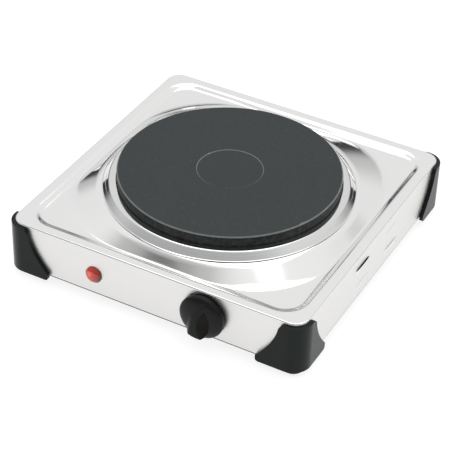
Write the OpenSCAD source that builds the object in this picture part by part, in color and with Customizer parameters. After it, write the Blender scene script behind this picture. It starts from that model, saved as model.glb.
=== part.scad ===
// Single hot plate burner: a pressed stainless housing that carries a cast-iron cooking plate.
// +Z is up, the control knob looks along -Y, and the object stands on Z = 0.

/* [Housing] */
// Width of the housing, left to right
body_w = 262; // [240:1:330]
// Depth of the housing, front to back
body_d = 262; // [240:1:330]
// Height of the side walls, from their lower edge to the rim
side_h = 42; // [36:1:60]
// Height of the side walls' lower edge above the surface
stand_h = 8.5; // [7:0.5:14]
// Radius of the housing's upright corners
corner_r = 12; // [9:1:22]
// Thickness of the pressed sheet
sheet_t = 0.8; // [0.6:0.1:1.2]
// Width of the flat rim around the top
rim_w = 9.3; // [7:0.1:14]
// Drop from the rim to the tray floor
tray_drop = 3; // [2:0.5:5]
// Corner radius of the tray
tray_r = 22; // [18:1:30]
// Width of the flat tray floor beside the dome
tray_floor = 5.5; // [3:0.5:10]
// Corner radius of the dome's foot
dome_r = 78; // [50:1:95]
// Width of the flange turned in under the side walls
flange_w = 17; // [15:1:22]

/* [Burner] */
// Diameter of the cast-iron plate
plate_d = 185; // [145:1:188]
// Height of the plate's top above the rim
plate_rise = 21.5; // [18:0.5:30]
// Thickness of the plate over its coils
plate_t = 9; // [8:0.5:12]
// Height of the plate's outer skirt
skirt_h = 11; // [10:0.5:14]
// Width of the plate's skirt
skirt_w = 6; // [5:0.5:9]
// Diameter of the shallow recess at the plate's centre
centre_d = 55; // [40:1:70]
// Depth of that recess
centre_deep = 0.6; // [0.3:0.1:1]
// Distance that the plate sits in front of the housing's centre
burner_fwd = 5; // [0:0.5:8]
// Width of the spill ring outside the plate
ring_w = 12; // [9:0.5:14]
// Height of the ring's seat above the rim
seat_rise = 6; // [4:0.5:9]
// Number of coil grooves
groove_n = 3; // [2:1:3]
// Width of a coil groove
groove_w = 11; // [8:1:13]
// Depth of a coil groove
groove_deep = 4.5; // [4:0.5:6]

/* [Feet] */
// Thickness of a corner guard
guard_t = 3.3; // [2.5:0.1:5]
// Length of a guard along each wall, at its top
guard_top = 21.5; // [18:0.5:30]
// Length of a guard along each wall, at its foot
guard_foot = 40; // [32:1:60]
// Gap between the surface and the guards
guard_lift = 5; // [4:0.5:7]
// Distance of the guards' upper edge below the rim
guard_drop = 2.3; // [1:0.1:5]
// How much lower the back left guard ends than the other three
guard_less = 3.7; // [0:0.1:6]
// Diameter of a rubber pad
pad_d = 20; // [16:1:24]
// Distance of a pad's centre from the housing's faces
pad_in = 10.5; // [10:0.5:14]

/* [Control] */
// Diameter of the knob
knob_d = 38; // [34:1:41]
// Reach of the knob from the front wall
knob_reach = 18; // [16:0.5:24]
// Height of the knob's upright edge
knob_edge = 3.5; // [3:0.5:5]
// Rise of the knob's dome over that edge
knob_dome = 5.5; // [4:0.5:8]
// Width of the knob's grip
grip_w = 10; // [8:0.5:14]
// Distance of the knob to the right of the centre
knob_x = 48; // [20:1:70]
// Depth of the knob's and the lamp's centre line under the rim
control_drop = 21.5; // [20:0.5:26]
// Diameter of the spindle
spindle_d = 6; // [5:0.5:7]
// Distance between the two screws beside the spindle
stat_pitch = 24; // [23:1:25]

/* [Lamp and inlet] */
// Diameter of the lamp's lens
lamp_d = 14.5; // [12:0.5:18]
// Distance of the lamp to the left of the centre
lamp_x = 52; // [30:1:80]
// Height of the lamp below the knob
lamp_low = 2.3; // [0:0.1:5]
// Distance of the cord gland to the right of the centre
gland_x = 70; // [40:1:85]
// Bore of the cord gland
gland_bore = 7.2; // [6:0.1:8.4]
// Reach of the gland from the back wall
gland_reach = 8; // [5:0.5:12]

/* [Louvres] */
// Length of a louvre
louvre_l = 25; // [18:1:30]
// Height of a louvre's hood
louvre_h = 5.5; // [4:0.5:7]
// Reach of a hood from the wall
louvre_out = 1.6; // [1.2:0.1:2.4]
// Distance between the two columns
louvre_pitch = 56; // [40:1:70]
// Distance between the two rows
louvre_row = 16.5; // [14:0.5:20]

/* [Clearances] */
// Radial gap of the spindle in its bush
run_clear = 0.05; // [0.02:0.01:0.1]
// Gap between pieces that are pushed or screwed together
fit_clear = 0.1; // [0.05:0.05:0.3]
// Gap between the knob and the front wall
knob_gap = 1.2; // [0.8:0.1:2]

/* [Hidden] */

$fn = 96;
eps = 0.01;
more = 1;

// Heights
rim_z = stand_h + side_h;
tray_z = rim_z - tray_drop;
seat_z = rim_z + seat_rise;
plate_z = rim_z + plate_rise;
base_t = 0.8;
base_z = stand_h - base_t;
under_z = plate_z - plate_t;
skirt_z = plate_z - skirt_h;
control_z = rim_z - control_drop;
lamp_z = control_z - lamp_low;
inner_z = stand_h + sheet_t;

// Places: the object's box is centred on the origin, so the housing stands back by half the
// difference between the knob's reach and the gland's
body_y = (knob_reach - gland_reach) / 2;
front_y = body_y - body_d / 2;
back_y = body_y + body_d / 2;
burner_y = body_y - burner_fwd;

// Burner radii
plate_r = plate_d / 2;
ring_r = plate_r + ring_w;
seat_r = ring_r + 1.6;
hole_r = plate_r + 4;
skirt_in = plate_r - skirt_w;
stud_r = 4;
stud_low = tray_z - 17;
bridge_z = seat_z - 12;
bridge_t = 2.5;
bridge_w = 25;
terminal_y = burner_y + 36;

// Feet
pad_x = body_w / 2 - pad_in;
pad_y = body_d / 2 - pad_in;
guard_z = guard_lift;
guard_top_z = rim_z - guard_drop;
foot_screw_r = 1.6;

// Front wall pieces
wall_in_y = front_y + sheet_t;
stat_w = 38;
stat_h = 26;
stat_l = 26;
stat_y = wall_in_y + 2;
spindle_r = spindle_d / 2;
flat_in = spindle_r / 2;
spindle_in = 7;
lamp_stem = lamp_d / 2 - 1.4;
gland_stem = 6.4;
gland_z = stand_h + 15.5;

// Terminal block
block_w = 40;
block_d = 18;
block_h = 15;
block_x = gland_x - 6;
block_y = back_y - 42;
earth_x = block_x + 36;
wire_d = 2.4;
wire_y = block_y - block_d / 2 + 5;
wire_z = stand_h + 6;
tab_y = stat_y + stat_l + 0.3;

function rounded(w, d, r, n = 10) = [
    for (c = [0:3]) for (i = [0:n])
        let (a = 90 * (c + i / n), sx = (c == 0 || c == 3) ? 1 : -1, sy = c < 2 ? 1 : -1)
        [sx * (w / 2 - r) + r * cos(a), sy * (d / 2 - r) + r * sin(a)]];

// A rounded slab centred on the housing, drawn in by a given inset
module slab(inset, r, z0, z1) {
    translate([0, body_y, z0])
        linear_extrude(z1 - z0)
            polygon(rounded(body_w - 2 * inset, body_d - 2 * inset, r));
}

// A cylinder along +Y from y0 to y1
module rod_y(x, z, r, y0, y1) {
    translate([x, y0, z]) rotate([-90, 0, 0]) cylinder(r = r, h = y1 - y0);
}

// A cylinder on the burner's axis
module disc(r, z0, z1) {
    translate([0, burner_y, z0]) cylinder(r = r, h = z1 - z0);
}

// A flat ring on the burner's axis
module annulus(r0, r1, z0, z1) {
    difference() {
        disc(r1, z0, z1);
        disc(r0, z0 - more, z1 + more);
    }
}

// A solid of revolution on the burner's axis, from (radius, height) points
module turned(points) {
    translate([0, burner_y, 0]) rotate_extrude() polygon(points);
}

// A pan-head screw: its head under the given point, its shank going up
module screw_up(x, y, z, r, l) {
    translate([x, y, z - 1.6]) cylinder(r = 2 * r, h = 1.6);
    translate([x, y, z - eps]) cylinder(r = r - fit_clear, h = l);
}

// Places a child at each of the housing's corners
module at_corners() {
    for (sx = [-1, 1]) for (sy = [-1, 1]) translate([sx * pad_x, body_y + sy * pad_y, 0]) children();
}

// Middles of the four sides, where the base is screwed on
function side_points() =
    [for (s = [-1, 1]) [s * (body_w / 2 - flange_w / 2), body_y],
     for (s = [-1, 1]) [0, body_y + s * (body_d / 2 - flange_w / 2)]];

// A tube of n sides that follows a list of points; side is a direction that it never runs along
function unit(v) = v / norm(v);
function along(p, i) = let (m = len(p) - 1) unit(p[min(i + 1, m)] - p[max(i - 1, 0)]);
module tube(p, d, side = [0, 0, 1], n = 8) {
    m = len(p) - 1;
    rings = [for (i = [0:m])
        let (t = along(p, i), u = unit(cross(t, side)), v = cross(t, u))
        for (k = [0:n - 1]) p[i] + d / 2 * (cos(360 * k / n) * u + sin(360 * k / n) * v)];
    walls = [for (i = [0:m - 1]) for (k = [0:n - 1])
        let (j = (k + 1) % n) [i * n + k, i * n + j, (i + 1) * n + j, (i + 1) * n + k]];
    first = [for (k = [n - 1:-1:0]) k];
    last = [for (k = [0:n - 1]) m * n + k];
    polyhedron(rings, concat([first], walls, [last]));
}

// Points on a smooth curve from a to b that leaves along u and arrives along v
function bend(a, u, b, v, n = 8) = [for (i = [0:n])
    let (t = i / n, s = 1 - t)
    s * s * s * a + 3 * s * s * t * (a + u) + 3 * s * t * t * (b - v) + t * t * t * b];

/* ---- Housing ---- */

module dome(inset, drop) {
    foot = rim_w + tray_floor + inset;
    hull() {
        slab(foot, dome_r - inset, tray_z - drop, tray_z - drop + eps);
        translate([0, burner_y, seat_z - drop - eps]) cylinder(r = seat_r - inset, h = eps, $fn = 64);
    }
}

module louvre_places() {
    for (s = [-1, 1]) for (col = [-0.5, 0.5]) for (row = [0, 1])
        translate([s * body_w / 2, body_y + 4 + col * louvre_pitch, rim_z - 17 - row * louvre_row])
            scale([s, 1, 1]) children();
}

// The hood's section: flush with the wall below, standing out above
module louvre_hood() {
    rotate([90, 0, 0])
        linear_extrude(louvre_l, center = true)
            polygon([[-sheet_t, 0], [0, 0], [louvre_out, louvre_h], [louvre_out - sheet_t, louvre_h]]);
}

module louvre_cut() {
    translate([-3, -louvre_l / 2 + more, louvre_h / 2]) cube([6, louvre_l - 2 * more, louvre_h / 2 + more]);
}

module front_holes() {
    rod_y(knob_x, control_z, 5.4, front_y - more, wall_in_y + more);
    for (s = [-1, 1])
        rod_y(knob_x + s * stat_pitch / 2, control_z, 2.1, front_y - more, wall_in_y + more);
    rod_y(-lamp_x, lamp_z, lamp_stem + fit_clear, front_y - more, wall_in_y + more);
}

module top_housing() color("gainsboro") {
    difference() {
        union() {
            difference() {
                slab(0, corner_r, stand_h, rim_z);
                slab(sheet_t, corner_r - sheet_t, inner_z, rim_z - sheet_t);
                slab(flange_w, 4, stand_h - more, inner_z + more);
                slab(rim_w, tray_r, rim_z - sheet_t - more, rim_z + more);
            }
            difference() {
                slab(rim_w - sheet_t, tray_r + sheet_t, tray_z - sheet_t, rim_z - eps);
                slab(rim_w, tray_r, tray_z, rim_z + more);
            }
            dome(0, 0);
        }
        dome(sheet_t, sheet_t);
        slab(rim_w + tray_floor + sheet_t, dome_r - sheet_t,
            tray_z - sheet_t - more, tray_z - sheet_t + eps);
        disc(hole_r, tray_z, seat_z + more);
        front_holes();
        rod_y(gland_x, gland_z, gland_stem + fit_clear, back_y - sheet_t - more, back_y + more);
        louvre_places() louvre_cut();
        at_corners() translate([0, 0, stand_h - more]) cylinder(r = foot_screw_r, h = 3);
        for (p = side_points()) translate([p[0], p[1], stand_h - more]) cylinder(r = 1.6, h = 3);
    }
    louvre_places() louvre_hood();
}

module base_plate() color("dimgray") {
    slot_n = 7;
    difference() {
        slab(0.6, corner_r - 0.6, base_z, stand_h);
        for (i = [0:slot_n - 1])
            translate([-45, burner_y - 60 + i * 20, base_z - more]) {
                translate([-20, -1.6, 0]) cube([40, 3.2, 3]);
                translate([70, -1.6, 0]) cube([40, 3.2, 3]);
            }
        at_corners() translate([0, 0, base_z - more]) cylinder(r = foot_screw_r, h = 3);
        for (p = side_points()) translate([p[0], p[1], base_z - more]) cylinder(r = 1.6, h = 3);
        for (s = [-1, 1])
            translate([block_x + s * block_w * 0.42, block_y, base_z - more]) cylinder(r = 1.6, h = 3);
        translate([earth_x, block_y, base_z - more]) cylinder(r = 1.9, h = 3);
    }
}

/* ---- Corner guards and pads ---- */

// How far the guard runs along a wall at height z
function guard_run(z) =
    let (low = guard_z + 6, t = max(0, min(1, (guard_top_z - z) / (guard_top_z - low))))
    guard_top + (guard_foot - guard_top) * pow(t, 1.8);

// The guard's side view: (distance from the outer corner, height)
function guard_side() = concat(
    [[-more, guard_z], [guard_foot - 2.5, guard_z],
        [guard_foot - 0.7, guard_z + 0.7], [guard_foot, guard_z + 2.5]],
    [for (i = [0:9]) let (z = guard_z + 6 + (guard_top_z - 3 - guard_z - 6) * i / 9) [guard_run(z), z]],
    [[guard_top - 0.8, guard_top_z - 0.9], [guard_top - 3, guard_top_z], [-more, guard_top_z]]);

// The guard of the corner at +X +Y; the others are mirrored from it
module guard(sx, sy) color("#1c1e1f") {
    gx = body_w / 2 + fit_clear + guard_t;
    gy = body_d / 2 + fit_clear + guard_t;
    corner = corner_r + fit_clear + guard_t;
    reach = pad_in + pad_d / 2 + 5 + guard_t;
    translate([0, body_y, 0]) scale([sx, sy, 1]) difference() {
        union() {
            intersection() {
                difference() {
                    translate([0, 0, guard_z]) linear_extrude(guard_top_z - guard_z)
                        polygon(rounded(2 * gx, 2 * gy, corner));
                    translate([0, 0, guard_z - more]) linear_extrude(guard_top_z)
                        polygon(rounded(2 * gx - 2 * guard_t, 2 * gy - 2 * guard_t, corner_r + fit_clear));
                }
                union() {
                    for (turn = [180, -90])
                        translate([gx, gy, 0]) rotate([90, 0, turn])
                            linear_extrude(2 * guard_t + corner, center = true) polygon(guard_side());
                }
            }
            intersection() {
                translate([0, 0, guard_z]) linear_extrude(base_z - fit_clear - guard_z)
                    polygon(rounded(2 * gx - guard_t, 2 * gy - guard_t,
                        corner_r + fit_clear + guard_t / 2));
                translate([gx - reach, gy - reach, 0]) cube([reach, reach, guard_z + 5]);
            }
        }
        translate([pad_x, pad_y, 0]) cylinder(r = foot_screw_r, h = guard_z + 5);
    }
}

module guard_front_left() guard(-1, -1);
module guard_front_right() guard(1, -1);
module guard_back_left() difference() {
    guard(-1, 1);
    translate([-body_w, body_y, guard_top_z - guard_less]) cube([body_w, body_d, guard_less + more]);
}
module guard_back_right() guard(1, 1);

module foot_pad(sx, sy) color("#2b2c2d")
    translate([sx * pad_x, body_y + sy * pad_y, 0]) rotate_extrude()
        polygon([[5, 0], [pad_d / 2 - 1.5, 0], [pad_d / 2 - 0.4, 0.5], [pad_d / 2, 1.6],
            [pad_d / 2, guard_z - fit_clear], [foot_screw_r, guard_z - fit_clear],
            [foot_screw_r, guard_z - 1.4], [5, guard_z - 1.4]]);

module foot_pad_front_left() foot_pad(-1, -1);
module foot_pad_front_right() foot_pad(1, -1);
module foot_pad_back_left() foot_pad(-1, 1);
module foot_pad_back_right() foot_pad(1, 1);

module foot_screws() color("silver")
    at_corners() screw_up(0, 0, guard_z - 1.4, foot_screw_r, stand_h + sheet_t + 1.5 - guard_z + 1.4);

module base_screws() color("silver")
    for (p = side_points()) screw_up(p[0], p[1], base_z, 1.6, base_t + sheet_t + 2);

/* ---- Burner ---- */

function groove_mid(i) = centre_d / 2 + groove_w / 2 + 2
    + i * (skirt_in - centre_d / 2 - groove_w - 4) / (groove_n - 1);

module hot_plate() color("#464b4b") difference() {
    turned([[0, under_z], [skirt_in, under_z], [skirt_in, skirt_z], [plate_r - 1, skirt_z],
        [plate_r, skirt_z + 1], [plate_r, plate_z - 1.1], [plate_r - 0.8, plate_z], [0, plate_z]]);
    disc(centre_d / 2, plate_z - centre_deep, plate_z + more);
    for (i = [0:groove_n - 1])
        annulus(groove_mid(i) - groove_w / 2, groove_mid(i) + groove_w / 2,
            under_z - more, under_z + groove_deep);
    disc(stud_r, under_z - more, under_z + 5);
}

// Folded sheet ring: the plate stands on its inner flange, and it stands on the dome's seat
module spill_ring() color("silver") {
    t = 0.7;
    lip_z = skirt_z + 2;
    turned([[skirt_in - 1, skirt_z - t], [plate_r + 0.9, skirt_z - t], [plate_r + 0.9, lip_z - 0.8],
        [ring_r - 6.2, lip_z - 1.2], [ring_r - 1.3, seat_z], [ring_r, seat_z], [ring_r, seat_z + t],
        [ring_r - 0.9, seat_z + t], [ring_r - 5.9, lip_z - 0.4], [plate_r + 1.2, lip_z],
        [plate_r + 0.2, lip_z - 0.1], [plate_r + 0.2, skirt_z], [skirt_in - 1, skirt_z]]);
}

module heating_coils() color("#9a8f84")
    for (i = [0:groove_n - 1])
        translate([0, burner_y, under_z + 2]) rotate_extrude()
            translate([groove_mid(i), 0]) circle(r = 1.8, $fn = 32);

module insulation_rings() color("ivory")
    for (i = [0:groove_n - 1]) difference() {
        annulus(groove_mid(i) - groove_w / 2 + fit_clear, groove_mid(i) + groove_w / 2 - fit_clear,
            under_z, under_z + groove_deep - fit_clear);
        annulus(groove_mid(i) - 2, groove_mid(i) + 2, under_z - more, under_z + groove_deep - 0.6);
    }

module plate_cover() color("silver") difference() {
    disc(skirt_in - fit_clear, under_z - 0.9, under_z - fit_clear);
    disc(stud_r + 0.5, under_z - 2, under_z + more);
    translate([-13, terminal_y - 7, under_z - 2]) cube([26, 14, 3]);
}

module plate_terminals() color("white") {
    translate([-12, terminal_y - 6, under_z - 9]) cube([24, 12, 9 - fit_clear]);
    for (x = [-8, 0, 8])
        translate([x - 2, terminal_y - 0.4, under_z - 19]) cube([4, 0.8, 11]);
}

module clamp_stud() color("silver") disc(stud_r - fit_clear, stud_low, under_z + 5 - fit_clear);

module clamp_bridge() color("#8d9192") {
    end = hole_r + 2;
    difference() {
        translate([-end, burner_y - bridge_w / 2, bridge_z]) cube([2 * end, bridge_w, bridge_t]);
        disc(stud_r + fit_clear, bridge_z - more, bridge_z + bridge_t + more);
    }
    for (s = [-1, 1])
        translate([s * (end - 1.2) - 1.2, burner_y - bridge_w / 2, bridge_z + bridge_t - eps])
            cube([2.4, bridge_w, seat_z - sheet_t - bridge_z - bridge_t]);
}

module clamp_nut() color("silver") difference() {
    union() {
        disc(10, bridge_z - 1.6, bridge_z);
        translate([0, burner_y, bridge_z - 8]) cylinder(r = 7.5, h = 6.4 + eps, $fn = 6);
    }
    disc(stud_r + eps, bridge_z - 9, bridge_z + more);
}

// Dished tray that keeps the plate's heat off the base
module heat_shield() color("lightgray") {
    low = bridge_z + bridge_t;
    top = under_z - 3;
    hub = stud_r + fit_clear;
    out = skirt_in - 4;
    slope = 6;
    t = 0.6;
    difference() {
        turned([[hub, low], [out - slope, low], [out, top],
            [out - t, top], [out - slope - t / 2, low + t], [hub, low + t]]);
        translate([-14, terminal_y - 8, low - more]) cube([28, 16, 4]);
    }
}

/* ---- Thermostat, spindle and knob ---- */

module thermostat_body() color("#d8cdb4") difference() {
    translate([knob_x - stat_w / 2 + 2, stat_y, control_z - stat_h / 2 + 2])
        cube([stat_w - 4, stat_l, stat_h - 4]);
    rod_y(knob_x, control_z, 6, stat_y - more, stat_y + 9);
    rod_y(knob_x, control_z, spindle_r + 0.4, stat_y, stat_y + 16);
}

// Steel frame with the bush that the spindle turns in
module thermostat_frame() color("#b9bcbd") difference() {
    union() {
        translate([knob_x - stat_w / 2, wall_in_y, control_z - stat_h / 2]) cube([stat_w, 2, stat_h]);
        for (s = [-1, 1])
            translate([knob_x + s * (stat_w / 2 - 0.6) - 0.6, wall_in_y, control_z - stat_h / 2])
                cube([1.2, stat_l, stat_h]);
        rod_y(knob_x, control_z, 5, front_y - 0.6, wall_in_y + 1);
    }
    rod_y(knob_x, control_z, spindle_r + run_clear, front_y - 3, stat_y + more);
    for (s = [-1, 1])
        rod_y(knob_x + s * stat_pitch / 2, control_z, 1.7, wall_in_y - more, wall_in_y + 3);
}

module thermostat_screws() color("silver")
    for (s = [-1, 1]) {
        rod_y(knob_x + s * stat_pitch / 2, control_z, 1.6, front_y - eps, wall_in_y + 1.9);
        rod_y(knob_x + s * stat_pitch / 2, control_z, 3, front_y - 1.8, front_y);
    }

// The outer end is flatted on top, and a collar keeps the spindle in
module spindle() color("silver") {
    tip = front_y - knob_gap - spindle_in + 0.4;
    flat_y = front_y - knob_gap + 0.3;
    difference() {
        rod_y(knob_x, control_z, spindle_r, tip, stat_y + 14);
        translate([knob_x - spindle_d, tip - more, control_z + flat_in])
            cube([2 * spindle_d, flat_y - tip + more, spindle_d]);
    }
    rod_y(knob_x, control_z, 4.6, stat_y + 1, stat_y + 3);
}

// The knob's own frame: its back lies at 0 and Z points away from the front wall

// The base's outline as (radius, height): an upright edge under a shallow dome
function knob_outline() =
    let (r = knob_d / 2)
    concat([[0, 0], [r - 0.5, 0], [r, 0.5], [r, knob_edge]],
        [for (i = [1:12]) let (a = 90 * i / 12) [r * cos(a), knob_edge + knob_dome * sin(a)]]);

// The grip seen from the side, as (place along the grip, height): it rises towards its lower end
function grip_side() =
    let (r = knob_d / 2, high = knob_reach - knob_gap, turn = 4)
    concat([[0.62 * r, 0.5], [0.62 * r, knob_edge + 0.7 * knob_dome]],
        [for (i = [0:6]) let (a = 68 + 100 * i / 6)
            [-0.5 * r + turn * cos(a), high - turn + turn * sin(a)]],
        [[-0.86 * r, knob_edge], [-0.86 * r, 0.5]]);

// The grip seen along its length: a narrow ridge whose flanks flare into the dome
function grip_flank(s) =
    let (high = knob_reach - knob_gap + 1)
    [for (i = [0:8]) let (t = s > 0 ? i / 8 : 1 - i / 8)
        [s * (grip_w / 2 + 6 * pow(1 - t, 2.2)), knob_edge + (high - knob_edge) * t]];
function grip_section() =
    concat([[grip_w / 2 + 6, 0.5]], grip_flank(1), grip_flank(-1), [[-grip_w / 2 - 6, 0.5]]);

module grip() {
    intersection() {
        rotate([90, 0, 90]) linear_extrude(knob_d, center = true) polygon(grip_side());
        rotate([90, 0, 0]) linear_extrude(knob_d, center = true) polygon(grip_section());
    }
}

module knob() color("#161718") {
    hub_r = 6.2;
    hollow = 2.4;
    translate([knob_x, front_y - knob_gap, control_z]) rotate([90, 0, 0]) difference() {
        union() {
            rotate_extrude() polygon(knob_outline());
            grip();
        }
        difference() {
            translate([0, 0, -more]) cylinder(r = knob_d / 2 - 1.6, h = hollow + more);
            translate([0, 0, -2 * more]) cylinder(r = hub_r, h = hollow + 3 * more);
        }
        difference() {
            translate([0, 0, -more]) cylinder(r = spindle_r + fit_clear, h = spindle_in + more);
            translate([-spindle_d, flat_in + 0.7, -2 * more]) cube([2 * spindle_d, spindle_d, knob_reach]);
        }
    }
}

// Leaf that grips the spindle's flat inside the knob
module knob_spring() color("silver")
    translate([knob_x - 1.6, front_y - knob_gap - spindle_in + 0.6, control_z + flat_in + fit_clear])
        cube([3.2, spindle_in - 2, 0.5]);

/* ---- Indicator lamp ---- */

module lamp_lens() color("red")
    translate([-lamp_x, front_y, lamp_z]) rotate([90, 0, 0]) rotate_extrude()
        polygon(concat([[0, -8], [lamp_stem, -8], [lamp_stem, 0], [lamp_d / 2, 0], [lamp_d / 2, 1.2]],
            [for (i = [1:8]) let (a = 90 * i / 8) [(lamp_d / 2 - 0.5) * cos(a), 1.2 + 2.8 * sin(a)]]));

module lamp_holder() color("ivory") {
    rod_y(-lamp_x, lamp_z, lamp_stem, front_y + 8, front_y + 28);
    for (s = [-1, 1])
        translate([-lamp_x + s * 3 - 0.4, front_y + 28 - eps, lamp_z - 2.4]) cube([0.8, 8, 4.8]);
}

module lamp_clip() color("silver") difference() {
    rod_y(-lamp_x, lamp_z, lamp_stem + 3.5, wall_in_y, wall_in_y + 0.8);
    rod_y(-lamp_x, lamp_z, lamp_stem + eps, wall_in_y - more, wall_in_y + 2);
}

/* ---- Mains inlet and wiring ---- */

module cord_gland() color("#1b1c1d") difference() {
    union() {
        rod_y(gland_x, gland_z, 9, back_y, back_y + 3);
        rod_y(gland_x, gland_z, gland_stem, back_y - 12, back_y + eps);
        translate([gland_x, back_y + 3 - eps, gland_z]) rotate([-90, 0, 0])
            cylinder(r1 = 7.6, r2 = 6, h = gland_reach - 3);
    }
    rod_y(gland_x, gland_z, gland_bore / 2, back_y - 13, back_y + gland_reach + more);
}

module gland_nut() color("#262829") difference() {
    translate([gland_x, back_y - sheet_t - 4, gland_z]) rotate([-90, 0, 0])
        cylinder(r = 9.5, h = 4, $fn = 6);
    rod_y(gland_x, gland_z, gland_stem + eps, back_y - 8, back_y);
}

module terminal_block() color("white") difference() {
    translate([block_x - block_w / 2, block_y - block_d / 2, stand_h]) cube([block_w, block_d, block_h]);
    for (s = [-1, 0, 1]) {
        rod_y(block_x + s * 10, stand_h + 6, 2, block_y - block_d / 2 - more, block_y + block_d / 2 + more);
        translate([block_x + s * 10, block_y, stand_h + 6]) cylinder(r = 2.4, h = block_h);
    }
    for (s = [-1, 1])
        translate([block_x + s * block_w * 0.42, block_y, stand_h - more])
            cylinder(r = 1.7, h = block_h + 2 * more);
}

module terminal_screws() color("goldenrod")
    for (s = [-1, 0, 1])
        translate([block_x + s * 10, block_y, stand_h + 8.2]) cylinder(r = 2.2, h = block_h - 9.5);

module earth_screw() color("goldenrod") {
    translate([earth_x, block_y, stand_h]) cylinder(r = 3.6, h = 2.2);
    translate([earth_x, block_y, base_z - 0.6]) cylinder(r = 1.8, h = stand_h - base_z + 0.7);
}

// Mains live: block to thermostat
module wire_live() color("saddlebrown") tube(
    bend([block_x - 10, wire_y, wire_z], [0, -70, 0],
        [knob_x + 9, tab_y, control_z + 5], [0, -60, 0], 14), wire_d);

// Switched live: thermostat to the plate's terminal
module wire_switched() color("saddlebrown") tube(
    bend([knob_x - 9, tab_y, control_z - 4], [0, 50, -8],
        [8, terminal_y, under_z - 20], [-6, 20, 50], 14), wire_d, [1, 0, 0]);

module wire_neutral() color("steelblue") tube(
    bend([block_x, wire_y, wire_z], [0, -40, 0],
        [-8, terminal_y, under_z - 20], [-50, 10, 46], 14), wire_d);

module wire_earth() color("yellowgreen") tube(
    bend([block_x + 10, wire_y, wire_z], [0, -24, 0],
        [earth_x, block_y, stand_h + 2.2 + wire_d / 2 + 0.1], [0, 12, 0], 12), wire_d);

// Two thin leads from the lamp to the thermostat
module lamp_leads() color("saddlebrown")
    for (s = [-1, 1])
        tube(bend([-lamp_x + s * 3, front_y + 36.3, lamp_z], [0, 22, s * 6],
            [knob_x - stat_w / 2 + 6, tab_y, control_z + 3 + s * 3], [8, -26, 0], 12), 1.6, n = 6);

top_housing();
base_plate();
guard_front_left();
guard_front_right();
guard_back_left();
guard_back_right();
foot_pad_front_left();
foot_pad_front_right();
foot_pad_back_left();
foot_pad_back_right();
hot_plate();
spill_ring();
heating_coils();
insulation_rings();
plate_cover();
plate_terminals();
clamp_stud();
clamp_bridge();
clamp_nut();
heat_shield();
thermostat_body();
thermostat_frame();
thermostat_screws();
spindle();
knob();
knob_spring();
lamp_lens();
lamp_holder();
lamp_clip();
terminal_block();
terminal_screws();
cord_gland();
gland_nut();
earth_screw();
base_screws();
foot_screws();
wire_live();
wire_switched();
wire_neutral();
wire_earth();
lamp_leads();
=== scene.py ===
# %% [markdown]
# # Single hot plate burner
# A small electric burner: a pressed stainless housing, a cast-iron cooking plate in a spill ring, four
# black corner guards that are also its feet, a knob and a red lamp. The solids come from CAD and stay as
# they are. Here each visible piece gets its finer shape and its finish, and the burner gets a studio to
# stand in.

# %% Load the frame
import math

import bmesh
import bpy
from mathutils import Matrix, Vector


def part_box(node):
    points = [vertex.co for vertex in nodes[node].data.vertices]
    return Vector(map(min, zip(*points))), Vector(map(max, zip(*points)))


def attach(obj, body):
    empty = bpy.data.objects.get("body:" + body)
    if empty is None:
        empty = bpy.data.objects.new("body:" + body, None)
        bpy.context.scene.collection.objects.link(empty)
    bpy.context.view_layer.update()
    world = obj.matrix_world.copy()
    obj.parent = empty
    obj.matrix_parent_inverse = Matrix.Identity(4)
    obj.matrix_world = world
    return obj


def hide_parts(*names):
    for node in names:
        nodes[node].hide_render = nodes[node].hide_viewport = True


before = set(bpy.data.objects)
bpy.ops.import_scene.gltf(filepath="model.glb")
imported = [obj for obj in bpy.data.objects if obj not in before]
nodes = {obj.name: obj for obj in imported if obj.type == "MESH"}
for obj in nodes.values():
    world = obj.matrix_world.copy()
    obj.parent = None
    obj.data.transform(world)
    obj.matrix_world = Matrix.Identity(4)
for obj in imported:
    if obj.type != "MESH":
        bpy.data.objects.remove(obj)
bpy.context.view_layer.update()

# %% [markdown]
# ## The camera
# A long lens keeps the sides of a product nearly parallel. The camera stands in front of the burner, a
# little to its right and well above it, and it is turned by two degrees about its own axis. It is made
# first, because everything else is judged through it. Its place follows from a target, two angles and a
# distance, which are easier to adjust than a position and three rotations.

# %% Make the camera
MM = 0.001
azimuth, elevation, roll = math.radians(27.73), math.radians(36.88), math.radians(1.92)
distance = 1336 * MM
target = Vector((20.2, -43.9, 50.5)) * MM

back = Vector((math.sin(azimuth) * math.cos(elevation), -math.cos(azimuth) * math.cos(elevation),
               math.sin(elevation)))
right = Vector((math.cos(azimuth), math.sin(azimuth), 0))
up = back.cross(right)
rolled_right = math.cos(roll) * right + math.sin(roll) * up
rolled_up = math.cos(roll) * up - math.sin(roll) * right

def placed(name, data):
    """A new object in the scene, at the origin."""
    piece = bpy.data.objects.new(name, data)
    bpy.context.scene.collection.objects.link(piece)
    return piece


camera_data = bpy.data.cameras.new("camera")
camera_data.lens = 133.7
camera_data.sensor_width = 36
camera = placed("camera", camera_data)
camera.matrix_world = Matrix.Translation(target + back * distance) @ Matrix(
    (rolled_right, rolled_up, back)).transposed().to_4x4()
bpy.context.scene.camera = camera
print("camera at", [round(v, 3) for v in camera.location])

# %% [markdown]
# ## Sizes
# The CAD gives where each piece is. Its boxes are read in millimetres, the unit that the maker of a burner
# thinks in, and only what a box can't tell, such as the width of the rim, is written down here.

# %% Read the sizes
def box_mm(node):
    low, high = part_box(node)
    return low / MM, high / MM


def middle_mm(node):
    """The middle of a node's box, as X, Y and Z."""
    return [(a + b) / 2 for a, b in zip(*box_mm(node))]


housing_low, housing_high = box_mm("top_housing")
base_low = box_mm("base_plate")[0]
plate_low, plate_high = box_mm("hot_plate")
ring_low, ring_high = box_mm("spill_ring")
guard_low, guard_high = box_mm("guard_front_right")

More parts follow.
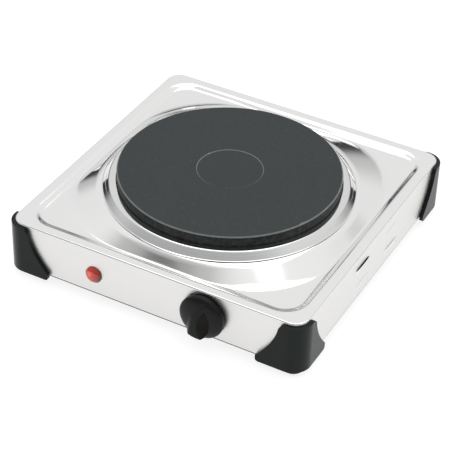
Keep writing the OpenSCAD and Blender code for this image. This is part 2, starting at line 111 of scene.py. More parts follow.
half = (housing_high.y - housing_low.y) / 2
body_y = (housing_high.y + housing_low.y) / 2
burner_y = (plate_low.y + plate_high.y) / 2
stand_z = housing_low.z
seat_z = housing_high.z
guard_drop = 2.3
rim_z = guard_high.z + guard_drop
plate_r = (plate_high.x - plate_low.x) / 2
plate_z = plate_high.z
ring_r = (ring_high.x - ring_low.x) / 2
sheet = 0.8
rim_w = 9.3
tray_deep = 3
tray_z = rim_z - tray_deep
print("housing", round(2 * half, 1), "mm square, plate", round(2 * plate_r, 1), "mm across")

# %% [markdown]
# ## The studio
# Polished steel has no colour of its own: it shows the room. So the room is what makes it look right. A
# pale floor and a bright sky of soft light give the clean, nearly white sheet. The light falls off towards
# the front and low down, where a studio is darker, and that draws the grey and black lines in the folds of
# the sheet. The sky's own colour is hidden from the camera, which sees a plain pale backdrop.

# %% Build the sky
world = bpy.data.worlds.new("studio_sky")
bpy.context.scene.world = world
world.use_nodes = True
sky = world.node_tree
sky.nodes.clear()


def feed(node, **values):
    """Fills a node's inputs by name: a socket is linked, and any other value is set."""
    for name, value in values.items():
        socket = next(s for s in node.inputs if s.name == name.replace("_", " ") and s.enabled)
        if isinstance(value, bpy.types.NodeSocket):
            node.id_data.links.new(value, socket)
        else:
            socket.default_value = value


def add_node(tree, kind, **values):
    """Adds a node; values are its own settings, or inputs to fill."""
    node = tree.nodes.new(kind)
    for name, value in values.items():
        if hasattr(node, name):
            setattr(node, name, value)
        else:
            feed(node, **{name: value})
    return node


def tree_of(*operands):
    """The node tree that the first socket among some operands is in."""
    return next(value.id_data for value in operands if isinstance(value, bpy.types.NodeSocket))


def split(vector):
    """The X, Y and Z of a vector socket."""
    return add_node(tree_of(vector), "ShaderNodeSeparateXYZ", Vector=vector).outputs


def maths(operation, *operands, clamp=False):
    """One Math node beside its operands, which are sockets or numbers."""
    tree = tree_of(*operands)
    node = add_node(tree, "ShaderNodeMath", operation=operation, use_clamp=clamp)
    for slot, value in zip(node.inputs, operands):
        if isinstance(value, bpy.types.NodeSocket):
            tree.links.new(value, slot)
        else:
            slot.default_value = value
    return node.outputs[0]


def ramp(value, stops):
    """A colour ramp from (place, grey or colour) stops."""
    node = add_node(tree_of(value), "ShaderNodeValToRGB", Fac=value)
    node.color_ramp.interpolation = "EASE"
    elements = node.color_ramp.elements
    while len(elements) < len(stops):
        elements.new(0.5)
    for element, (place, tone) in zip(elements, stops):
        element.position = place
        element.color = (*tone, 1) if isinstance(tone, tuple) else (tone, tone, tone, 1)
    return node.outputs["Color"]


white = (1, 1, 1, 1)
direction = split(add_node(sky, "ShaderNodeTexCoord").outputs["Generated"])
height = maths("MULTIPLY_ADD", direction["Z"], 0.5, 0.5)
by_height = ramp(height, [(0.0, 0.9), (0.48, 0.5), (0.5, 0.03), (0.55, 0.06), (0.62, 0.60),
                          (0.72, 0.92), (1.0, 1.0)])
frontness = maths("MULTIPLY_ADD", direction["Y"], -0.5, 0.5)
by_front = ramp(frontness, [(0.0, 1.0), (0.45, 1.0), (0.75, 0.60), (1.0, 0.42)])
tone = add_node(sky, "ShaderNodeMix", data_type="RGBA", blend_type="MULTIPLY")
tone.inputs[0].default_value = 1.0
sky.links.new(by_height, tone.inputs[6])
sky.links.new(by_front, tone.inputs[7])
ray = add_node(sky, "ShaderNodeLightPath")
seen = add_node(sky, "ShaderNodeMix", data_type="RGBA")
seen.inputs[7].default_value = white
sky.links.new(ray.outputs["Is Camera Ray"], seen.inputs[0])
sky.links.new(tone.outputs[2], seen.inputs[6])
light = add_node(sky, "ShaderNodeBackground", Strength=1.0, Color=seen.outputs[2])
add_node(sky, "ShaderNodeOutputWorld", Surface=light.outputs[0])
bpy.context.scene.view_settings.view_transform = "Standard"
print("sky built with", len(sky.nodes), "nodes")

# %% Lay the floor
def mesh_object(name, points, faces, material=None):
    """A mesh object at the origin, from points in millimetres."""
    mesh = bpy.data.meshes.new(name)
    mesh.from_pydata([Vector(p) * MM for p in points], [], faces)
    mesh.update()
    if material:
        mesh.materials.append(material)
    return placed(name, mesh)


def blank_finish(name, **fixed):
    """A material with its Principled BSDF; fixed values go straight on its sockets."""
    finish = bpy.data.materials.new(name)
    finish.use_nodes = True
    shader = finish.node_tree.nodes["Principled BSDF"]
    feed(shader, **fixed)
    return finish, finish.node_tree, shader


floor_finish, tree, shader = blank_finish(
    "floor_paper", Base_Color=(0.34, 0.34, 0.34, 1), Roughness=0.9, Specular_IOR_Level=0.0,
    Emission_Color=white, Emission_Strength=0.84)
back_side = add_node(tree, "ShaderNodeNewGeometry").outputs["Backfacing"]
feed(shader, Alpha=maths("SUBTRACT", 1.0, back_side))
floor_half = 6000
corners = [(-floor_half, -floor_half, 0), (floor_half, -floor_half, 0), (floor_half, floor_half, 0),
           (-floor_half, floor_half, 0)]
floor = mesh_object("floor", corners, [(0, 1, 2, 3)], floor_finish)


def lamp_panel(name, place, size, power):
    """A square soft light that looks at the burner."""
    data = bpy.data.lights.new(name, "AREA")
    data.shape = "SQUARE"
    data.size = size * MM
    data.energy = power
    panel = placed(name, data)
    place = Vector(place) * MM
    aim = (place - target).to_track_quat("Z", "Y")
    panel.matrix_world = Matrix.Translation(place) @ aim.to_matrix().to_4x4()


lamp_panel("ceiling_panel", (-300, 500, 1700), 1100, 5)
print("studio ready")

# %% [markdown]
# ## Shared surface effects
# Several finishes need the same small effects: a fine grain, rings left by a lathe, worn edges and dust.
# Each is built once as a node group with its own inputs, and each finish uses it with its own values. A
# group only puts out masks and heights. What they do to colour, roughness or relief is decided in the
# finish itself.

# %% Helper that starts a shader group
def start_group(name, inputs, outputs):
    """An empty shader node group: inputs are (name, default), outputs are names of values."""
    group = bpy.data.node_groups.new(name, "ShaderNodeTree")
    for label, default in inputs:
        kind = "NodeSocketVector" if isinstance(default, tuple) else "NodeSocketFloat"
        socket = group.interface.new_socket(label, in_out="INPUT", socket_type=kind)
        socket.default_value = default
    for label in outputs:
        group.interface.new_socket(label, in_out="OUTPUT", socket_type="NodeSocketFloat")
    return group, group.nodes.new("NodeGroupInput"), group.nodes.new("NodeGroupOutput")


def on_object(tree):
    """The piece's own coordinates, which stay with it when it moves."""
    return add_node(tree, "ShaderNodeTexCoord").outputs["Object"]


# %% Grain: noise on the piece's own coordinates, stretched along any axis
grain_group, g_in, g_out = start_group(
    "grain", [("Stretch", (1.0, 1.0, 1.0)), ("Scale", 200.0), ("Contrast", 1.0)], ["Tone", "Height"])
stretched = add_node(grain_group, "ShaderNodeVectorMath", operation="MULTIPLY")
grain_group.links.new(on_object(grain_group), stretched.inputs[0])
grain_group.links.new(g_in.outputs["Stretch"], stretched.inputs[1])
noise = add_node(grain_group, "ShaderNodeTexNoise", Vector=stretched.outputs[0], Scale=g_in.outputs["Scale"],
                 Detail=4.0, Roughness=0.6).outputs["Fac"]
centred = maths("SUBTRACT", noise, 0.5)
steeper = maths("MULTIPLY", centred, g_in.outputs["Contrast"])
feed(g_out, Tone=maths("ADD", steeper, 0.5, clamp=True), Height=noise)

# %% Turning marks: fine rings about the burner's upright axis
turned_group, t_in, t_out = start_group(
    "turning_marks", [("Pitch", 0.8), ("Unevenness", 0.4), ("Centre Y", 0.0)], ["Tone", "Height"])
place = on_object(turned_group)
axes = split(place)
from_axis = maths("SUBTRACT", axes["Y"], t_in.outputs["Centre Y"])
squares = maths("ADD", maths("POWER", axes["X"], 2.0), maths("POWER", from_axis, 2.0))
radius = maths("MULTIPLY", maths("SQRT", squares), 1000.0)
drift = add_node(turned_group, "ShaderNodeTexNoise", Vector=place, Scale=14.0, Detail=2.0).outputs["Fac"]
spot = add_node(turned_group, "ShaderNodeCombineXYZ",
                X=maths("DIVIDE", radius, t_in.outputs["Pitch"]),
                Y=maths("MULTIPLY", drift, t_in.outputs["Unevenness"]))
cut = add_node(turned_group, "ShaderNodeTexNoise", Vector=spot.outputs[0], Scale=1.0, Detail=3.0,
               Roughness=0.7).outputs["Fac"]
feed(t_out, Tone=cut, Height=cut)

# %% Edge wear: a mask that is bright on sharp edges, broken up by noise
wear_group, w_in, w_out = start_group("edge_wear", [("Reach", 1.0), ("Breakup", 0.5)], ["Mask"])
pointed = add_node(wear_group, "ShaderNodeNewGeometry").outputs["Pointiness"]
sharp = maths("SUBTRACT", pointed, 0.5)
gain = maths("MULTIPLY", w_in.outputs["Reach"], 12.0)
edge = maths("MULTIPLY", sharp, gain, clamp=True)
chips = add_node(wear_group, "ShaderNodeTexNoise", Vector=on_object(wear_group), Scale=320.0, Detail=3.0)
broken = maths("MULTIPLY", chips.outputs["Fac"], w_in.outputs["Breakup"])
feed(w_out, Mask=maths("SUBTRACT", edge, broken, clamp=True))

# %% Dust and haze: soft patches, denser on faces that look up
def normal_z(tree):
    """How far a face looks up: 1 is level, 0 upright, -1 underneath."""
    return split(add_node(tree, "ShaderNodeNewGeometry").outputs["Normal"])["Z"]


dust_group, d_in, d_out = start_group("dust", [("Amount", 0.3), ("Scale", 30.0)], ["Mask"])
upward = maths("MULTIPLY_ADD", normal_z(dust_group), 0.35, 0.65, clamp=True)
patches = add_node(dust_group, "ShaderNodeTexNoise", Vector=on_object(dust_group),
                   Scale=d_in.outputs["Scale"], Detail=5.0, Roughness=0.55)
soft = maths("MULTIPLY", patches.outputs["Fac"], upward)
feed(d_out, Mask=maths("MULTIPLY", soft, d_in.outputs["Amount"], clamp=True))
print("shader groups:", [g.name for g in (grain_group, turned_group, wear_group, dust_group)])

# %% [markdown]
# ## Finishes
# Each finish starts from a Principled BSDF. What is the same all over, such as the metal's metallic value,
# is set on its sockets. What changes over the surface comes from the groups. One helper does the wiring
# that most finishes share: two colours mixed by a mask, a roughness range and a small relief.

# %% Helpers for finishes
def use_group(tree, group, **values):
    """Places a group in a finish, with its inputs set."""
    node = tree.nodes.new("ShaderNodeGroup")
    node.node_tree = group
    feed(node, **values)
    return node.outputs


def mix_colours(mask, low, high):
    """Mixes two colours, or a colour socket and a colour, by a mask."""
    tree = mask.id_data
    node = add_node(tree, "ShaderNodeMix", data_type="RGBA")
    tree.links.new(mask, node.inputs[0])
    for socket, value in ((node.inputs[6], low), (node.inputs[7], high)):
        if isinstance(value, bpy.types.NodeSocket):
            tree.links.new(value, socket)
        else:
            socket.default_value = (*value, 1)
    return node.outputs[2]


def spread(mask, low, high):
    """Turns a 0 to 1 mask into a value between low and high."""
    return add_node(mask.id_data, "ShaderNodeMapRange", Value=mask, To_Min=low, To_Max=high).outputs["Result"]


def relief(shader, heights, strength, depth):
    """Feeds a height to the shader's normal through a Bump node; depth is in metres."""
    bump = add_node(shader.id_data, "ShaderNodeBump", Strength=strength, Distance=depth, Height=heights)
    feed(shader, Normal=bump.outputs["Normal"])


def simple_finish(name, dark, light, rough, metallic=0.0, scale=250.0, stretch=(1.0, 1.0, 1.0),
                  depth=0.00002, dust=0.15, dust_colour=(0.45, 0.43, 0.40), **fixed):
    """Grain in colour, roughness and relief, with a little dust on top."""
    finish, tree, shader = blank_finish(name, Metallic=metallic, **fixed)
    grain = use_group(tree, grain_group, Stretch=stretch, Scale=scale, Contrast=1.6)
    haze = use_group(tree, dust_group, Amount=dust)["Mask"]
    body = mix_colours(grain["Tone"], dark, light)
    feed(shader, Base_Color=mix_colours(haze, body, dust_colour),
         Roughness=maths("ADD", spread(grain["Tone"], *rough), haze, clamp=True))
    relief(shader, grain["Height"], 0.35, depth)
    return finish


# %% [markdown]
# ### Polished steel
# The housing is mirror-polished sheet. Real polish isn't a perfect mirror: wiping leaves a faint haze, and
# a pressed sheet is never quite flat, so long reflections waver. Both are very weak here, because more of
# either makes steel look like plastic foil. The walls were drawn through the die and are duller than the
# top, so a mask of how upright a face is makes them rougher. The same mask also gives them painted shade:
# a slightly darker colour.

# %% Make the polished steel
steel, tree, shader = blank_finish("polished_steel", Metallic=1.0)
wipe = use_group(tree, grain_group, Stretch=(0.25, 1.0, 1.0), Scale=420.0, Contrast=1.2)["Tone"]
cloud = use_group(tree, grain_group, Scale=9.0, Contrast=1.5)
haze = use_group(tree, dust_group, Amount=0.06, Scale=16.0)["Mask"]
metal = mix_colours(cloud["Tone"], (0.80, 0.80, 0.80), (0.84, 0.84, 0.83))
upright = maths("SUBTRACT", 1.0, maths("ABSOLUTE", normal_z(tree)), clamp=True)
wall_shade_and_dullness = maths("POWER", upright, 3.0)
drawn = maths("MULTIPLY", wall_shade_and_dullness, 0.30)
polish = maths("ADD", spread(wipe, 0.04, 0.08), haze)
# Painted shade: upright walls get a darker colour than the top. The same mask makes them rougher.
feed(shader, Base_Color=mix_colours(wall_shade_and_dullness, metal, (0.755, 0.750, 0.735)),
     Roughness=maths("ADD", polish, drawn))
relief(shader, cloud["Height"], 0.12, 0.0006)

# %% [markdown]
# ### Spun steel for the spill ring
# The ring is spun on a lathe and polished by turning, so its fine marks run round it. The turning marks
# group draws rings about the burner's axis, in the roughness and as a faint relief.

# %% Make the ring's steel
ring_steel, tree, shader = blank_finish("ring_steel", Metallic=1.0)
marks = use_group(tree, turned_group, Pitch=0.35, Unevenness=1.2, Centre_Y=burner_y * MM)
haze = use_group(tree, dust_group, Amount=0.03, Scale=22.0)["Mask"]
feed(shader, Base_Color=mix_colours(marks["Tone"], (0.62, 0.63, 0.62), (0.76, 0.77, 0.76)),
     Roughness=maths("ADD", spread(marks["Tone"], 0.03, 0.08), haze))
relief(shader, marks["Height"], 0.10, 0.00004)

# %% [markdown]
# ### Cast iron for the plate
# The plate's face is turned after casting and then blackened. It keeps fine concentric marks, a slightly
# speckled grey-green tone and worn bare metal on its sharp edges. Its sloping outer rim has a painted
# highlight: a lighter grey, broken by the speckle, with a lower roughness. Its upright side has painted
# shade: a near-black colour. It is matt, so its roughness is high.

# %% Make the cast iron
iron, tree, shader = blank_finish("cast_iron", Metallic=0.0, Specular_IOR_Level=0.45)
marks = use_group(tree, turned_group, Pitch=0.9, Unevenness=2.0, Centre_Y=burner_y * MM)
speckle = use_group(tree, grain_group, Scale=900.0, Contrast=2.4)
clouds = use_group(tree, grain_group, Scale=14.0, Contrast=1.6)["Tone"]
wear = use_group(tree, wear_group, Reach=1.4, Breakup=0.35)["Mask"]
body = mix_colours(marks["Tone"], (0.0095, 0.0145, 0.0145), (0.021, 0.027, 0.027))
flecked = mix_colours(spread(speckle["Tone"], 0.0, 0.30), body, (0.062, 0.074, 0.073))
cloudy = mix_colours(spread(clouds, 0.0, 0.35), flecked, (0.016, 0.021, 0.022))
up = normal_z(tree)
level = maths("MULTIPLY_ADD", up, 8.0, -6.6, clamp=True)
# Painted shade: faces that are not level, the plate's upright side, get a near-black colour.
painted_side_shade = mix_colours(level, (0.004, 0.005, 0.005), cloudy)
slope = maths("MULTIPLY", maths("MULTIPLY_ADD", up, 6.0, -1.2, clamp=True),
              maths("MULTIPLY_ADD", up, -12.0, 11.5, clamp=True))
# Painted highlight on the sloping outer rim, joined with real edge wear into one lighter colour.
chamfer_highlight = maths("MULTIPLY", slope, spread(speckle["Tone"], 0.55, 1.0))
wear_and_highlight = maths("MAXIMUM", chamfer_highlight, wear)
matt = spread(marks["Tone"], 0.50, 0.68)
feed(shader, Base_Color=mix_colours(wear_and_highlight, painted_side_shade, (0.26, 0.28, 0.27)),
     Roughness=maths("MULTIPLY_ADD", slope, -0.20, matt))
heights = maths("MULTIPLY_ADD", speckle["Height"], 0.6, marks["Height"])
relief(shader, heights, 0.45, 0.00006)

# %% [markdown]
# ### Black mouldings, rubber and paint
# The guards are a glossy moulding, the knob a satin one. Seen closely, both have the fine skin of the
# mould. They differ mostly in roughness: low on the guards, for their sharp highlight, and higher on the
# knob. The knob's scoop catches hardly any light, so its shade is painted: it gets a near-black finish that
# hardly reflects. The rubber pads are dull, and the base is sheet steel in black satin paint.

# %% Make the black finishes
guard_plastic = simple_finish("guard_plastic", (0.006, 0.009, 0.009), (0.011, 0.015, 0.015), (0.14, 0.24),
                              scale=500.0, depth=0.00001, dust=0.010, Specular_IOR_Level=0.15)
knob_plastic = simple_finish("knob_plastic", (0.006, 0.007, 0.007), (0.012, 0.013, 0.013), (0.28, 0.40),
                             scale=900.0, depth=0.00002, dust=0.012, Specular_IOR_Level=0.14)
# Painted shade: the scoop's finish is near-black, with almost no reflection.
scoop_painted_shade = simple_finish("scoop_painted_shade", (0.0003, 0.0003, 0.0003), (0.0007, 0.0007, 0.0007),
                              (0.55, 0.70), scale=900.0, depth=0.00002, Specular_IOR_Level=0.02)
pad_rubber = simple_finish("pad_rubber", (0.018, 0.018, 0.018), (0.034, 0.034, 0.033), (0.70, 0.85),
                           scale=650.0, depth=0.00005, dust=0.10)
gland_plastic = simple_finish("gland_plastic", (0.014, 0.014, 0.015), (0.024, 0.024, 0.025), (0.38, 0.52),
                              scale=700.0, depth=0.00003, dust=0.05)
base_paint = simple_finish("base_paint", (0.016, 0.016, 0.017), (0.028, 0.028, 0.029), (0.38, 0.55),
                           scale=380.0, depth=0.00003, dust=0.06, Coat_Weight=0.1)
print("black finishes made")

# %% [markdown]
# ### The red lens
# The lamp's lens is clear red plastic over a small neon bulb. It looks deep because light goes in and comes
# out again. A little subsurface scattering and a faint glow of its own do that at a low cost; the glow is
# painted light. A clear coat gives the wet highlight. The colour also carries a painted highlight and
# painted shade: it is bright orange-red at a point up and to the left of the lens's axis, and it deepens to
# a dark red away from that point.

# %% Make the lens finish
lens_red, tree, shader = blank_finish(
    "lens_red", Roughness=0.12, Subsurface_Weight=0.15, Subsurface_Scale=0.003,
    Subsurface_Radius=(1.0, 0.15, 0.08), Coat_Weight=0.5, Coat_Roughness=0.03, Emission_Strength=0.06)
mottle = use_group(tree, grain_group, Scale=160.0, Contrast=1.8)
lamp_low, lamp_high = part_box("lamp_lens")
# Painted highlight and painted shade: the red is brightest at a point up and to the left of the lens's axis
# and darkens away from it. The same colour glows as painted light.
highlight_shift, highlight_reach = 2.2 * MM, 9.5 * MM
highlight_from = add_node(tree, "ShaderNodeVectorMath", operation="DISTANCE")
tree.links.new(on_object(tree), highlight_from.inputs[0])
highlight_from.inputs[1].default_value = ((lamp_low.x + lamp_high.x) / 2 - highlight_shift, lamp_low.y,
                                     (lamp_low.z + lamp_high.z) / 2 + highlight_shift)
uneven = maths("MULTIPLY_ADD", mottle["Tone"], 0.16, -0.12)
away_from_highlight = maths("MULTIPLY_ADD", highlight_from.outputs["Value"], 1 / highlight_reach, uneven, clamp=True)
red = ramp(away_from_highlight, [(0.0, (0.95, 0.20, 0.075)), (0.28, (0.66, 0.055, 0.020)),
                    (0.72, (0.47, 0.020, 0.009)), (1.0, (0.06, 0.003, 0.002))])
feed(shader, Base_Color=red, Emission_Color=red)
relief(shader, mottle["Height"], 0.05, 0.0001)

# %% [markdown]
# ### Inner metals, ceramics and sleeves
# Nobody sees these until the base is off, but each has its own finish, so that a view of the inside reads
# as real parts: dull zinc plate, aluminised sheet, oxidised heating wire, unglazed ceramic, nylon and
# brass.

# %% Make the inner finishes
zinc = simple_finish("zinc_plate", (0.46, 0.47, 0.48), (0.66, 0.67, 0.68), (0.28, 0.46), metallic=1.0,
                     scale=300.0)
aluminised = simple_finish("aluminised_sheet", (0.60, 0.61, 0.62), (0.78, 0.79, 0.80), (0.34, 0.50),
                           metallic=1.0, scale=120.0, stretch=(1.0, 6.0, 1.0))
coil_wire = simple_finish("coil_wire", (0.22, 0.19, 0.17), (0.42, 0.38, 0.34), (0.35, 0.60), metallic=1.0,
                          scale=600.0)
ceramic = simple_finish("ceramic", (0.70, 0.66, 0.56), (0.84, 0.81, 0.73), (0.60, 0.80), scale=420.0,
                        depth=0.00005)
nylon = simple_finish("nylon", (0.74, 0.73, 0.69), (0.84, 0.83, 0.79), (0.40, 0.55), scale=500.0)
brass = simple_finish("brass", (0.60, 0.42, 0.18), (0.78, 0.60, 0.30), (0.22, 0.38), metallic=1.0,
                      scale=450.0)
sleeve_brown, sleeve_blue = (simple_finish("sleeve_" + name, dark, light, (0.45, 0.60), scale=900.0)
                             for name, dark, light in (("brown", (0.14, 0.055, 0.020), (0.22, 0.09, 0.035)),
                                                       ("blue", (0.03, 0.09, 0.30), (0.05, 0.14, 0.42))))
print("inner finishes made")

# %% [markdown]
# The earth wire's sleeve is green with yellow in it. On a real sleeve the yellow runs along in one stripe.
# The wire is a CAD node without a UV map, so a stripe can't follow it. Bands on the object coordinates are
# used instead: they keep the two colours that tell a fitter which wire this is.

# %% Make the earth sleeve
sleeve_earth, tree, shader = blank_finish("sleeve_earth", Roughness=0.5)
where = split(on_object(tree))
along = maths("MULTIPLY", maths("ADD", where["X"], where["Z"]), 160.0)
stripe = maths("LESS_THAN", maths("PINGPONG", along, 0.5), 0.14)
feed(shader, Base_Color=mix_colours(stripe, (0.04, 0.22, 0.06), (0.70, 0.62, 0.05)))
relief(shader, use_group(tree, grain_group, Scale=900.0)["Height"], 0.3, 0.00002)
print("all finishes:", len(bpy.data.materials))

# %% [markdown]
# ## Geometry Nodes helpers
# Pieces that repeat or follow a rule are made by node trees. A tree has named inputs for its sizes, so the
# same tree makes several pieces. These helpers start a tree, run it on a mesh with its inputs set, and turn
# the result into a plain mesh with the modifier gone.

# %% Helpers for node trees
SOCKETS = {"float": "NodeSocketFloat", "int": "NodeSocketInt", "vector": "NodeSocketVector",
           "material": "NodeSocketMaterial"}


def start_tree(name, inputs):
    """A Geometry Nodes tree with a geometry in and out, and (label, kind) inputs."""
    tree = bpy.data.node_groups.new(name, "GeometryNodeTree")
    tree.interface.new_socket("Geometry", in_out="INPUT", socket_type="NodeSocketGeometry")
    for label, kind in inputs:
        tree.interface.new_socket(label, in_out="INPUT", socket_type=SOCKETS[kind])
    tree.interface.new_socket("Geometry", in_out="OUTPUT", socket_type="NodeSocketGeometry")
    return tree, tree.nodes.new("NodeGroupInput"), tree.nodes.new("NodeGroupOutput")


def named_vector(tree, label):
    """Reads a vector that the seed mesh carries on its points."""
    return add_node(tree, "GeometryNodeInputNamedAttribute", data_type="FLOAT_VECTOR",
                    Name=label).outputs["Attribute"]


def finish_tree(tree, source, group_in, group_out):
    """Ends a tree in Realize Instances and Set Material."""
    real = add_node(tree, "GeometryNodeRealizeInstances", Geometry=source)
    paint = add_node(tree, "GeometryNodeSetMaterial", Geometry=real.outputs[0],
                     Material=group_in.outputs["Material"])
    feed(group_out, Geometry=paint.outputs[0])


def grow(name, tree, points, edges, vectors=None, **values):
    """Runs a tree on a mesh of points (mm) and edges and returns the result as a plain mesh object.
    vectors are named attributes with one vector for each point, for trees that set copies on points."""
    mesh = bpy.data.meshes.new(name + "_seed")
    mesh.from_pydata([Vector(p) * MM for p in points], edges, [])
    for label, rows in (vectors or {}).items():
        layer = mesh.attributes.new(label, "FLOAT_VECTOR", "POINT")
        for item, value in zip(layer.data, rows):
            item.vector = value
    seed = placed(name + "_seed", mesh)
    modifier = seed.modifiers.new("grow", "NODES")
    modifier.node_group = tree
    labels = {s.name: s.identifier for s in tree.interface.items_tree if s.in_out == "INPUT"}
    for label, value in values.items():
        modifier[labels[label.replace("_", " ")]] = value
    made = bake(seed, name)
    bpy.data.objects.remove(seed)
    return made


def bake(source, name):
    """A plain mesh object from an object with its modifiers applied."""
    depsgraph = bpy.context.evaluated_depsgraph_get()
    mesh = bpy.data.meshes.new_from_object(source.evaluated_get(depsgraph), depsgraph=depsgraph)
    mesh.name = name
    return placed(name, mesh)


def smooth(piece, angle):
    """Smooths a piece except over edges sharper than an angle in degrees."""
    piece.data.shade_smooth()
    piece.data.set_sharp_from_angle(angle=math.radians(angle))
    return piece


def tidy(piece, angle=38):
    """Merges doubles, points the faces outwards and smooths all but the sharp edges."""
    work = bmesh.new()
    work.from_mesh(piece.data)
    bmesh.ops.remove_doubles(work, verts=work.verts, dist=0.01 * MM)
    bmesh.ops.recalc_face_normals(work, faces=work.faces)
    work.to_mesh(piece.data)
    work.free()
    return smooth(piece, angle)


def modified(piece, *modifiers):
    """Applies modifiers, given as (type, settings), and returns the same-named plain piece."""
    for kind, settings in modifiers:
        modifier = piece.modifiers.new(kind.lower(), kind)
        for setting, value in settings.items():
            setattr(modifier, setting, value)
    name = piece.name
    piece.name = name + "_rough"
    done = bake(piece, name)
    bpy.data.objects.remove(piece)
    return done


def rounded_path(points, reaches, steps):
    """Softens the corners of a path of (distance, height) points; each reach is a corner's length."""
    path = [tuple(points[0])]
    for i in range(1, len(points) - 1):
        corner = Vector(points[i])
        before, after = Vector(points[i - 1]) - corner, Vector(points[i + 1]) - corner
        reach = min(reaches[i], 0.46 * before.length, 0.46 * after.length)
        start = corner + before.normalized() * reach
        end = corner + after.normalized() * reach
        for s in range(steps + 1):
            t = s / steps
            path.append(tuple((1 - t) ** 2 * start + 2 * t * (1 - t) * corner + t * t * end))
    path.append(tuple(points[-1]))
    return path


# %% [markdown]
# ## Turned pieces
# The plate, the spill ring, the pads, the lens and the gland are all round. Each is one outline swept round
# an axis, as on a lathe. A Spin or a Screw modifier could do it too. A node tree is used because one tree
# serves all of them: it bends a circle with the outline as its section. Outlines are (radius, height)
# pairs.

# %% Build the turning tree
turning, t_in, t_out = start_tree("turning", [("Reference Radius", "float"), ("Steps", "int"),
                                              ("Rotation", "vector"), ("Place", "vector"),
                                              ("Material", "material")])
outline_curve = add_node(turning, "GeometryNodeMeshToCurve", Mesh=t_in.outputs["Geometry"])
circle = add_node(turning, "GeometryNodeCurvePrimitiveCircle", Radius=t_in.outputs["Reference Radius"],
                  Resolution=t_in.outputs["Steps"])
sweep = add_node(turning, "GeometryNodeCurveToMesh", Curve=circle.outputs["Curve"],
                 Profile_Curve=outline_curve.outputs[0])
closed = add_node(turning, "GeometryNodeMergeByDistance", Geometry=sweep.outputs[0], Distance=0.004 * MM)
moved = add_node(turning, "GeometryNodeTransform", Geometry=closed.outputs[0],
                 Rotation=t_in.outputs["Rotation"], Translation=t_in.outputs["Place"])
finish_tree(turning, moved.outputs[0], t_in, t_out)


def turned_piece(name, outline, place, finish, steps=192, rotation=(0, 0, 0), angle=38):
    """Sweeps a closed outline of (radius, height) points in mm round an axis through place."""
    reference = 50.0
    points = [(r - reference, -h, 0) for r, h in outline]
    edges = [(i, (i + 1) % len(points)) for i in range(len(points))]
    piece = grow(name, turning, points, edges, Reference_Radius=reference * MM, Steps=steps,
                 Rotation=rotation, Place=tuple(Vector(place) * MM), Material=finish)
    return tidy(piece, angle=angle)


# %% Turn the cooking plate
recess_r, recess_deep, skirt_w, skirt_low = 27.5, 0.6, 6.0, plate_low.z
under_z = plate_z - 9
skirt_in = plate_r - skirt_w
outline = [(0, plate_z - recess_deep), (recess_r - 0.5, plate_z - recess_deep), (recess_r + 0.1, plate_z),
           (plate_r - 0.9, plate_z), (plate_r, plate_z - 0.9), (plate_r, skirt_low), (skirt_in, skirt_low),
           (skirt_in, under_z)]
plate_outline = rounded_path(outline, [0, 0.5, 0.35, 0.7, 0.7, 0.8, 0.8, 0], steps=4)
groove_half, groove_deep, first_groove = 5.5, 4.5, recess_r + 7.5
groove_pitch = (skirt_in - recess_r - 2 * groove_half - 4) / 2
for groove in (2, 1, 0):
    inner, outer = (first_groove + groove * groove_pitch + side * groove_half for side in (-1, 1))
    plate_outline += [(outer, under_z), (outer, under_z + groove_deep), (inner, under_z + groove_deep),
                      (inner, under_z)]
stud_r, stud_deep = 4, 5
plate_outline += [(stud_r, under_z), (stud_r, under_z + stud_deep), (0, under_z + stud_deep)]
plate = turned_piece("cooking_plate", plate_outline, (0, burner_y, 0), iron, steps=256, angle=30)
print("plate:", len(plate.data.polygons), "faces")

# %% Turn the spill ring
lip = skirt_low + 2
cone_drop = lip - 0.4 - (seat_z + 0.8)
upper = [(skirt_in - 1, skirt_low), (plate_r + 0.2, skirt_low), (plate_r + 0.3, lip - 0.1),
         (ring_r - 0.7 - cone_drop, lip - 0.4), (ring_r - 0.7, seat_z + 0.8), (ring_r, seat_z + 0.7)]
lower = [(ring_r, seat_z), (ring_r - 1.4, seat_z), (ring_r - 3.0, lip - 3.2), (ring_r - 6.5, lip - 1.2),
         (plate_r + 0.9, lip - 0.8), (plate_r + 0.9, skirt_low - 0.7), (skirt_in - 1, skirt_low - 0.7)]
ring_outline = rounded_path(upper, [0, 0.1, 0.5, 1.3, 0.5, 0], steps=8)
ring_outline += rounded_path(lower, [0, 0.3, 0.8, 1.2, 0.4, 0.2, 0], steps=4)
spill = turned_piece("spill_ring_spun", ring_outline, (0, burner_y, 0), ring_steel, steps=256, angle=50)
print("ring:", len(spill.data.polygons), "faces")

# %% [markdown]
# ## The pressed housing
# Side walls, rim, tray and dome are one deep-drawn sheet. It could be modelled with subdivision surfaces,
# but a polished sheet shows every bump that a control cage leaves. So the sheet is built from its section
# instead: for each direction round the burner, the section is a path from the flange under the wall, up the
# wall, over the rim, down into the tray and up the dome to its hole. Its corners are softened as a press
# softens them, and all directions have the same number of points, so they join into one clean grid.

# %% Helpers for the outlines seen from above
def square_reach(inset, corner, heading):
    """Distance from the housing's centre to a rounded square, along a heading."""
    c, s = abs(math.cos(heading)), abs(math.sin(heading))
    side = half - inset
    straight = side / max(c, s)
    if min(c, s) * straight <= side - corner:
        return straight
    centre = side - corner
    dot = centre * (c + s)
    return dot + math.sqrt(max(0, dot * dot - 2 * centre * centre + corner * corner))


def circle_reach(radius, heading):
    """Distance from the housing's centre to a circle round the burner's axis, along a heading."""
    offset = burner_y - body_y
    dot = math.sin(heading) * offset
    return dot + math.sqrt(dot * dot - offset * offset + radius * radius)


headings = sorted({round(i * 1.25, 3) for i in range(288)} | {round((45 + 90 * q + d * 0.5) % 360, 3)
                                                           for q in range(4) for d in range(-13, 14)})
print("sections:", len(headings))

